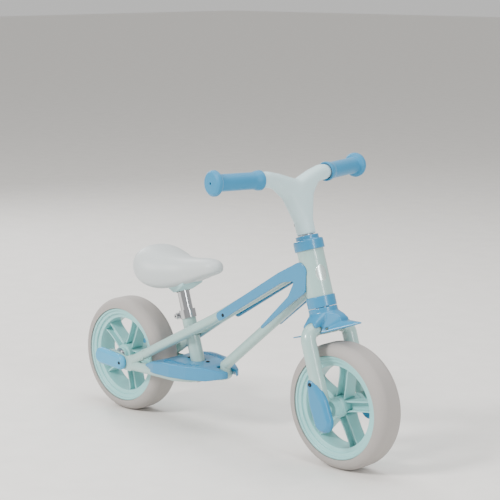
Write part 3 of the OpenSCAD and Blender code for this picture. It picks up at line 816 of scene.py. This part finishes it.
def screw_head(radius: float, rise: float) -> bpy.types.Object:
    """Model a domed cross-head screw head.

    Args:
        radius: Radius of the head.
        rise: Height of its dome.

    Returns:
        The head at the origin, facing +Z.
    """
    bm = bmesh.new()
    rings = ((1.0, 0.0), (1.0, 0.35), (0.93, 0.62), (0.75, 0.86), (0.5, 0.97))
    steps = 24
    loops = [
        [bm.verts.new((radius * r * math.cos(a), radius * r * math.sin(a), rise * h))
         for a in (2 * math.pi * k / steps for k in range(steps))]
        for r, h in rings
    ]
    for low, high in zip(loops, loops[1:]):
        for k in range(steps):
            bm.faces.new((low[k], low[(k + 1) % steps], high[(k + 1) % steps], high[k]))
    # the cross: the inner ring drops to a sunk floor with four long arms
    floor = []
    for k in range(steps):
        a, reach = 2 * math.pi * k / steps, 0.44 if k % 6 in (0, 1, 5) else 0.16
        floor.append(bm.verts.new((radius * reach * math.cos(a), radius * reach * math.sin(a), rise * 0.15)))
    for k in range(steps):
        bm.faces.new((loops[-1][k], loops[-1][(k + 1) % steps], floor[(k + 1) % steps], floor[k]))
    bm.faces.new(floor)
    bm.faces.new(list(reversed(loops[0])))
    mesh = bpy.data.meshes.new("screw_head")
    bm.to_mesh(mesh)
    bm.free()
    return link("screw_head", mesh)


def grip_rib(length: float, width: float, rise: float) -> bpy.types.Object:
    """Model one rounded rib of a foot rest.

    Args:
        length: Length along X.
        width: Width along Y.
        rise: Height above the surface.

    Returns:
        The rib at the origin, facing +Z.
    """
    steps = 8
    rings: list[list[Vector]] = []
    for x, s in ((-0.5, 0.25), (-0.46, 0.75), (-0.4, 1.0), (0.4, 1.0), (0.46, 0.75), (0.5, 0.25)):
        ring = [
            Vector((length * x, 0.5 * width * s * math.cos(math.pi * k / steps),
                    rise * s * math.sin(math.pi * k / steps) - 0.2 * rise))
            for k in range(steps + 1)
        ]
        ring.append(Vector((length * x, 0.0, -0.8 * rise)))
        rings.append(ring)
    return link("grip_rib", lofted("grip_rib", rings))


# ---------------------------------------------------------------- wheels

@dataclass
class Wheel:
    """One moulded wheel with its foam tyre."""

    body: Body
    end: str
    first_spoke_deg: float
    spokes: int = 5
    bead_r: float = 83.5 * MM
    inner_r: float = 66 * MM
    half: float = 24.8 * MM
    hub_r: float = 17 * MM
    hub_half: float = 20 * MM
    collar_r: float = 13.5 * MM
    rib_gap: float = 15 * MM
    rib_t: float = 2.6 * MM
    hub: Vector = field(init=False)

    def __post_init__(self) -> None:
        """Find the middle of the wheel in the frame."""
        self.hub = centre(f"{self.end}_rim")

    def place(self) -> Matrix:
        """Return the transform that lays Z along the axle."""
        return Matrix.Translation(self.hub) @ Matrix.Rotation(math.radians(90), 4, "X")

    def rim_outline(self) -> list[tuple[float, float]]:
        """Draw the stepped rim in section.

        Returns:
            Its closed outline with every corner rounded.
        """
        r, h = self.bead_r, self.half
        side = [
            (r - 5.5 * MM, h - 6 * MM), (r - 0.4 * MM, h - 4 * MM), (r - 0.4 * MM, h), (r - 4.5 * MM, h),
            (r - 4.8 * MM, h - 3 * MM), (r - 10.5 * MM, h - 3.3 * MM), (r - 10.8 * MM, h - 7 * MM),
            (self.inner_r, h - 7.4 * MM),
        ]
        return rounded(side + [(x, -y) for x, y in reversed(side)], 1.3 * MM)

    def hub_outline(self) -> list[tuple[float, float]]:
        """Draw the hub barrel in section, bored for its bearings.

        Returns:
            Its closed outline with every corner rounded.
        """
        out = self.hub_half + 7 * MM
        side = [
            (11 * MM, out - 7 * MM), (11 * MM, out), (self.collar_r, out), (self.collar_r, self.hub_half),
            (self.hub_r, self.hub_half - 0.5 * MM),
        ]
        bore = (6 * MM, out - 7.2 * MM)
        return rounded([bore] + side + [(x, -y) for x, y in reversed(side)] + [(bore[0], -bore[1])], 1.1 * MM)

    def spoke(self) -> bpy.types.Object:
        """Model one spoke: two ribs that flare into the rim, joined by a sunk web.

        Returns:
            The spoke at the origin, running along +X with the axle along Z.
        """
        start, end = self.hub_r - 2 * MM, self.inner_r + 1.5 * MM
        rings: list[list[Vector]] = []
        for i in range(13):
            f = i / 12
            x = start + (end - start) * f
            flare = 1 + 0.25 * max(0.0, f - 0.8) / 0.2 + 0.12 * max(0.0, 0.15 - f) / 0.15
            tall = (13 - 1.5 * math.sin(math.pi * f)) * MM
            wide = self.rib_gap / 2 * flare
            h = self.rib_t / 2
            outline = [
                (-wide - h, -tall), (-wide + h, -tall), (-wide + h, -h), (wide - h, -h),
                (wide - h, -tall), (wide + h, -tall), (wide + h, tall), (wide - h, tall),
                (wide - h, h), (-wide + h, h), (-wide + h, tall), (-wide - h, tall),
            ]
            rings.append([Vector((x, y, z)) for y, z in rounded(outline, 0.9 * MM, 3)])
        return link("spoke", lofted("spoke", rings))

    def build(self, palette: Palette) -> None:
        """Build the wheel and dress its tyre and bearings.

        Args:
            palette: The finishes.
        """
        item = self.spoke()
        places = []
        for i in range(self.spokes):
            a = math.radians(self.first_spoke_deg + 360 * i / self.spokes)
            out = self.place().to_3x3() @ Vector((math.cos(a), math.sin(a), 0))
            places.append((self.hub.copy(), self.place().to_3x3() @ Vector((0, 0, 1)), out))
        wheel = ROWS.row(f"{self.end}_wheel_moulding", item, places, palette.wheel)
        bpy.data.objects.remove(item)
        bm = bmesh.new()
        bm.from_mesh(wheel.data)
        bm.from_mesh(turned("rim", self.rim_outline(), self.place(), 144))
        bm.from_mesh(turned("hub", self.hub_outline(), self.place(), 72))
        bm.to_mesh(wheel.data)
        bm.free()
        wheel.data.shade_smooth()
        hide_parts(f"{self.end}_rim")
        settle(wheel, self.body, palette.wheel)
        coat([f"{self.end}_tyre"], palette.foam)
        coat([f"{self.end}_bearing_right", f"{self.end}_bearing_left"], palette.steel)


# ---------------------------------------------------------------- steering

@dataclass
class Steering:
    """Handlebar, grips, the hood over the fork, and the fork."""

    leg_y: float = 48.5 * MM
    cover_out: float = 15.6 * MM
    screw_at: tuple[float, float] = (45 * MM, -3 * MM)

    def bar(self, palette: Palette) -> None:
        """Cast the one-piece bar so that its arms flow out of the stem."""
        bar = moulded("y_bar", ["handlebar"], 1.3 * MM, 60)
        settle(bar, Body.STEERING, palette.bar)

    def grips(self, palette: Palette) -> None:
        """Cast both grips with softened collars and flanges."""
        for side in Side:
            name = side.name.lower()
            grip = moulded(f"grip_sleeve_{name}", [f"grip_{name}"], FINE, 5)
            settle(grip, Body.STEERING, palette.grip)

    def hood(self, palette: Palette) -> None:
        """Cast the hood over the fork crown with flowing shoulders."""
        hood = moulded("crown_hood", ["crown_cover"], FINE, 16)
        settle(hood, Body.STEERING, palette.blue)

    def fork_covers(self, palette: Palette) -> None:
        """Cast the drop-shaped covers over the ends of the fork."""
        for side in Side:
            name = side.name.lower()
            cover = moulded(f"drop_cover_{name}", [f"fork_cover_{name}"], FINE, 60)
            settle(cover, Body.STEERING, palette.blue)

    def screws(self, palette: Palette) -> None:
        """Set a cross-head screw into each fork cover."""
        item = screw_head(3.3 * MM, 1.4 * MM)
        places = []
        for side in Side:
            spot = HEAD.at(*self.screw_at, side.value * (self.leg_y + self.cover_out))
            places.append((spot, Vector((0, side.value, 0)), Vector((1, 0, 0.4))))
        piece = ROWS.row("fork_cover_screw_heads", item, places, palette.black_steel)
        bpy.data.objects.remove(item)
        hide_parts("fork_cover_screws")
        settle(piece, Body.STEERING, palette.black_steel)

    def build(self, palette: Palette) -> None:
        """Build every steering piece.

        Args:
            palette: The finishes.
        """
        self.bar(palette)
        self.grips(palette)
        self.hood(palette)
        self.fork_covers(palette)
        self.screws(palette)
        coat(["fork_leg_right", "fork_leg_left", "fork_crown"], palette.frame_paint)
        coat(["steerer_tube", "front_axle", "front_axle_nuts"], palette.steel)
        coat(["front_spacers"], palette.wheel)
        coat(["handlebar_bolt"], palette.black_steel)


# ---------------------------------------------------------------- frame

@dataclass
class Chassis:
    """The painted tubes with their covers, rings, clamp and foot rest."""

    rib_pitch: float = 6.6 * MM
    rib_length: float = 11 * MM
    ribs: int = 11
    rib_y: float = 41 * MM
    rib_sink: float = 0.2 * MM
    waist_x: float = 8 * MM
    waist_slope: float = 0.45
    board_screws: tuple[float, float] = (-21 * MM, 24 * MM)
    tube_r: float = 21.5 * MM
    cover_y: float = 22.9 * MM
    badge_size: tuple[float, float] = (9.5 * MM, 13.5 * MM)
    badge_along: float = 212 * MM
    badge_turn_deg: float = -19.0
    down_tube_r: float = 9 * MM
    down_tube_top: float = 197.8 * MM
    down_tube_foot: tuple[float, float] = (-14 * MM, 119 * MM)

    def board_top(self) -> float:
        """Return the height of the foot rest's top."""
        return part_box("footboard")[1].z

    def covers(self, palette: Palette) -> None:
        """Cast the wishbone covers and the rear axle covers."""
        for side in Side:
            name = side.name.lower()
            plate = moulded(f"wishbone_cover_{name}", [f"side_cover_{name}"], FINE, 7)
            settle(plate, Body.FRAME, palette.blue)
            shell = moulded(f"axle_cover_{name}", [f"rear_cover_{name}"], FINE, 24)
            settle(shell, Body.FRAME, palette.light_blue)

    def rings(self, palette: Palette) -> None:
        """Cast the headset's cap and ring with soft edges."""
        for node, name in (("headset_cap", "cap_ring"), ("headset_ring", "foot_ring")):
            ring = moulded(name, [node], FINE, 4)
            settle(ring, Body.FRAME, palette.blue)

    def foot_rest(self, palette: Palette) -> None:
        """Cast the foot rest and raise its rows of grip ribs."""
        board = moulded("foot_rest", ["footboard"], 1.0 * MM, 26)
        settle(board, Body.FRAME, palette.blue)
        item = grip_rib(self.rib_length, 2.4 * MM, 1.8 * MM)
        top = self.board_top() - self.rib_sink
        places = []
        for side in Side:
            for i in range(self.ribs):
                x = (i - self.ribs / 2) * self.rib_pitch
                inset = max(0.0, x - self.waist_x) * self.waist_slope
                spot = Vector((SEAT.foot[0] + x, side.value * (self.rib_y - inset), top))
                places.append((spot, Vector((0, 0, 1)), Vector((0, 1, 0))))
        piece = ROWS.row("foot_rest_ribs", item, places, palette.blue)
        bpy.data.objects.remove(item)
        settle(piece, Body.FRAME, palette.blue)

    def screws(self, palette: Palette) -> None:
        """Set the cross-head screws of the covers and the foot rest."""
        small, large = screw_head(3.2 * MM, 1.3 * MM), screw_head(3.6 * MM, 1.6 * MM)
        up, ahead = Vector((0, 0, 1)), Vector((1, 0.3, 0))
        board = [(Vector((SEAT.foot[0] + x, 0, self.board_top())), up, ahead) for x in self.board_screws]
        covers, shells = [], []
        for side in Side:
            out = Vector((0, side.value, 0))
            spot = centre("side_cover_screws")
            covers.append((Vector((spot.x, side.value * self.cover_y, spot.z)), out, Vector((0.8, 0, 0.5))))
            spot = centre("rear_cover_screws")
            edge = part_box("rear_cover_left")[1].y - 1.6 * MM
            shells.append((Vector((spot.x, side.value * edge, spot.z)), out, Vector((0.6, 0, 0.8))))
        for name, item, places, node in (
            ("foot_rest_screw_heads", large, board, "footboard_screws"),
            ("wishbone_screw_heads", small, covers, "side_cover_screws"),
            ("axle_cover_screw_heads", small, shells, "rear_cover_screws"),
        ):
            piece = ROWS.row(name, item, places, palette.black_steel)
            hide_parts(node)
            settle(piece, Body.FRAME, palette.black_steel)
        for item in (small, large):
            bpy.data.objects.remove(item)

    def badge(self, palette: Palette) -> None:
        """Wrap a plain oval badge round the side of the head tube."""
        thick = 0.35 * MM
        rings: list[list[Vector]] = []
        for i in range(17):
            u = -1 + 2 * i / 16
            wide = self.badge_size[0] * math.sqrt(max(1 - u * u, 0.0004))
            ring = []
            for sign, lift in ((1, 0.0), (-1, thick)):
                for k in range(13):
                    t = sign * (-1 + 2 * k / 12)
                    angle = math.radians(self.badge_turn_deg) + t * wide / self.tube_r
                    edge = 1 - 0.6 * max(abs(t) ** 6, abs(u) ** 6)
                    r = self.tube_r - 0.1 * MM + lift * edge
                    along = self.badge_along + u * self.badge_size[1]
                    ring.append(HEAD.at(along, r * math.cos(angle), r * math.sin(angle)))
            rings.append(ring)
        piece = link("head_badge", lofted("head_badge", rings))
        settle(piece, Body.FRAME, palette.badge)

    def weld(self, name: str, ring: Sequence[Vector], palette: Palette, bead: float = 2.2 * MM) -> None:
        """Lay a rippled weld bead along a closed ring of points.

        Args:
            name: Name of the piece.
            ring: Points round the joint.
            palette: The finishes.
            bead: Width of the bead.
        """
        verts: list[Vector] = []
        count, n = len(ring), 8
        for i, here in enumerate(ring):
            ahead = (ring[(i + 1) % count] - ring[i - 1]).normalized()
            side = ahead.orthogonal().normalized()
            other = ahead.cross(side)
            swell = bead / 2 * (1 + 0.12 * math.sin(i * 2.1))
            turns = (2 * math.pi * k / n for k in range(n))
            verts += [here + (side * math.cos(a) + other * math.sin(a)) * swell for a in turns]
        piece = link(name, closed_tube(name, verts, n))
        settle(piece, Body.FRAME, palette.frame_paint)

    def welds(self, palette: Palette) -> None:
        """Weld the down tube to the head tube."""
        foot = Vector((self.down_tube_foot[0], 0, self.down_tube_foot[1]))
        head = HEAD.at(self.down_tube_top)
        run = (head - foot).normalized()
        side = Vector((0, 1, 0))
        over = run.cross(side).normalized()
        up = (HEAD.at(1) - HEAD.at(0)).normalized()
        ring = []
        for k in range(64):
            a = 2 * math.pi * k / 64
            start = foot + (side * math.cos(a) + over * math.sin(a)) * self.down_tube_r
            rel = start - HEAD.at(0)
            flat_run, flat = run - up * run.dot(up), rel - up * rel.dot(up)
            square, cross = flat_run.dot(flat_run), 2 * flat.dot(flat_run)
            rest = flat.dot(flat) - (self.tube_r - 0.1 * MM) ** 2
            step = (-cross - math.sqrt(max(cross * cross - 4 * square * rest, 0))) / (2 * square)
            ring.append(start + run * step)
        self.weld("down_tube_weld", ring, palette)

    def build(self, palette: Palette) -> None:
        """Build every frame piece.

        Args:
            palette: The finishes.
        """
        self.covers(palette)
        self.rings(palette)
        self.foot_rest(palette)
        self.screws(palette)
        self.badge(palette)
        self.welds(palette)
        coat(["head_tube", "main_tube_right", "main_tube_left", "down_tube", "seat_tube", "lower_rail",
              "dropout_right", "dropout_left", "base_plate", "stay_bridge"], palette.frame_paint)
        coat(["rear_axle", "rear_axle_nuts", "rear_spacers"], palette.steel)
        coat(["stay_bridge_screws"], palette.black_steel)
        coat(["seat_tube_plug", "upper_bush", "lower_bush"], palette.black_plastic)
        coat(["seat_clamp", "seat_clamp_bolt"], palette.chrome)


# ---------------------------------------------------------------- seat

@dataclass
class Saddle:
    """The padded saddle on its base and post."""

    # distance forward of the tail: half width, widest height, top, bottom, arch under the middle
    stations: tuple[tuple[float, float, float, float, float, float], ...] = (
        (0, 2, 277, 281, 273, 0),
        (3, 22, 277, 291, 265, 0),
        (9, 37, 276, 299.5, 259, 2),
        (18, 48, 274, 305.5, 253, 5),
        (30, 55.5, 269, 308, 243.5, 9),
        (44, 58.5, 264, 306.5, 238, 13),
        (60, 56.5, 260, 302.5, 234.5, 15),
        (76, 49.5, 259, 298.5, 234, 14),
        (90, 41, 260, 295.8, 237, 11),
        (104, 33.5, 263, 294.6, 242, 7),
        (120, 28, 268, 294.8, 248, 4),
        (138, 24.5, 273, 296.4, 255.5, 2),
        (156, 22, 278, 298.2, 264, 1),
        (170, 19.5, 281.5, 298.2, 270, 0),
        (180, 14.5, 283, 295.5, 274, 0),
        (185, 8, 283.4, 290.5, 278, 0),
        (187, 1.5, 283.5, 284.8, 282.4, 0),
    )
    tail_x: float = 41 * MM - 253 * MM
    steps: int = 28

    def ring(self, station: tuple[float, float, float, float, float, float]) -> list[Vector]:
        """Draw the saddle's section at one station.

        Args:
            station: Distance from the tail and the section's sizes, in millimetres.

        Returns:
            The section's points.
        """
        x, half, mid, top, low, arch = (v * MM for v in station)
        points = []
        for k in range(self.steps):
            a = 2 * math.pi * k / self.steps
            c, s = math.cos(a), math.sin(a)
            y = half * math.copysign(abs(c) ** 0.86, c)
            if s >= 0:
                z = mid + (top - mid) * s ** 0.9
            else:
                z = mid + (low - mid) * abs(s) ** 0.7 + arch * max(0.0, 1 - (abs(y) / (0.62 * half)) ** 2)
            points.append(Vector((self.tail_x + x, y, z)))
        return points

    def pad(self, palette: Palette) -> None:
        """Skin the pad over its stations and round it off."""
        mesh = lofted("saddle_pad", [self.ring(s) for s in self.stations])
        pad = link("saddle_pad", mesh)
        finer = pad.modifiers.new("Finer", "SUBSURF")
        finer.levels = finer.render_levels = 2
        bake(pad)
        pad.data.shade_smooth()
        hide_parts("saddle")
        settle(pad, Body.SEAT, palette.saddle)

    def build(self, palette: Palette) -> None:
        """Build the pad and dress its base and post.

        Args:
            palette: The finishes.
        """
        self.pad(palette)
        base = moulded("saddle_clip_base", ["saddle_base"], 0.9 * MM, 7)
        settle(base, Body.SEAT, palette.saddle_base)
        coat(["seat_post"], palette.chrome)
        coat(["saddle_screws"], palette.black_steel)


# ---------------------------------------------------------------- studio

@dataclass
class Studio:
    """A plain pale floor, soft lights and the camera."""

    camera_at: Point = (1.8441, -1.8405, 0.7800)
    camera_turn_deg: Point = (79.97, 0.0, 44.36)
    lens_mm: float = 114.26

    def floor(self, palette: Palette) -> None:
        """Lay the floor."""
        bm = bmesh.new()
        bmesh.ops.create_grid(bm, x_segments=40, y_segments=40, size=20.0)
        mesh = bpy.data.meshes.new("floor")
        bm.to_mesh(mesh)
        bm.free()
        piece = link("floor", mesh)
        piece.data.materials.append(palette.floor)

    def lamp(self, name: str, at: Point, towards: Point, size: tuple[float, float], watts: float,
             tint: Colour = (1.0, 1.0, 1.0)) -> None:
        """Hang one soft box.

        Args:
            name: Name of the lamp.
            at: Its place.
            towards: The point it faces.
            size: Its width and height.
            watts: Its power.
            tint: Its colour.
        """
        data = bpy.data.lights.new(name, "AREA")
        data.shape = "RECTANGLE"
        data.size, data.size_y = size
        data.energy = watts
        data.color = tint
        lamp = bpy.data.objects.new(name, data)
        lamp.location = at
        lamp.rotation_euler = (Vector(towards) - Vector(at)).to_track_quat("-Z", "Y").to_euler()
        bpy.context.scene.collection.objects.link(lamp)

    def camera(self) -> None:
        """Set up the camera."""
        data = bpy.data.cameras.new("camera")
        data.lens = self.lens_mm
        data.sensor_width = 36.0
        data.clip_end = 60.0
        camera = bpy.data.objects.new("camera", data)
        camera.location = self.camera_at
        camera.rotation_euler = tuple(math.radians(v) for v in self.camera_turn_deg)
        bpy.context.scene.collection.objects.link(camera)
        bpy.context.scene.camera = camera

    def sky(self) -> None:
        """Fill the surroundings with pale light."""
        world = bpy.data.worlds.new("studio")
        world.use_nodes = True
        back = world.node_tree.nodes["Background"]
        back.inputs["Color"].default_value = (0.95, 0.945, 0.93, 1.0)
        back.inputs["Strength"].default_value = 0.7
        bpy.context.scene.world = world

    def build(self, palette: Palette) -> None:
        """Set up the whole studio.

        Args:
            palette: The finishes.
        """
        self.floor(palette)
        self.sky()
        self.lamp("key", (-0.6, -2.9, 2.3), (0.05, 0, 0.2), (0.8, 0.8), 150, (1.0, 0.985, 0.96))
        self.lamp("side_strip", (2.6, -0.4, 1.3), (0.1, 0, 0.25), (0.35, 1.6), 34, (0.97, 0.99, 1.0))
        self.lamp("back_strip", (-2.2, 0.8, 1.6), (0, 0, 0.25), (0.5, 1.4), 30)
        self.lamp("overhead", (0.2, 0.4, 2.8), (0, 0, 0), (2.4, 2.4), 60)
        self.camera()


# ---------------------------------------------------------------- assembly


def main() -> None:
    """Build the bike in order."""
    logging.basicConfig(level=logging.INFO, format="%(name)s: %(message)s")
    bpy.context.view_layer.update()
    palette = mix_palette()
    Studio().build(palette)
    parts: list[Callable[[Palette], None]] = [
        Wheel(Body.FRONT_WHEEL, "front", 82.0).build,
        Wheel(Body.REAR_WHEEL, "rear", 68.0).build,
        Steering().build,
        Chassis().build,
        Saddle().build,
    ]
    for part in parts:
        part(palette)


if __name__ == "__main__":
    main()
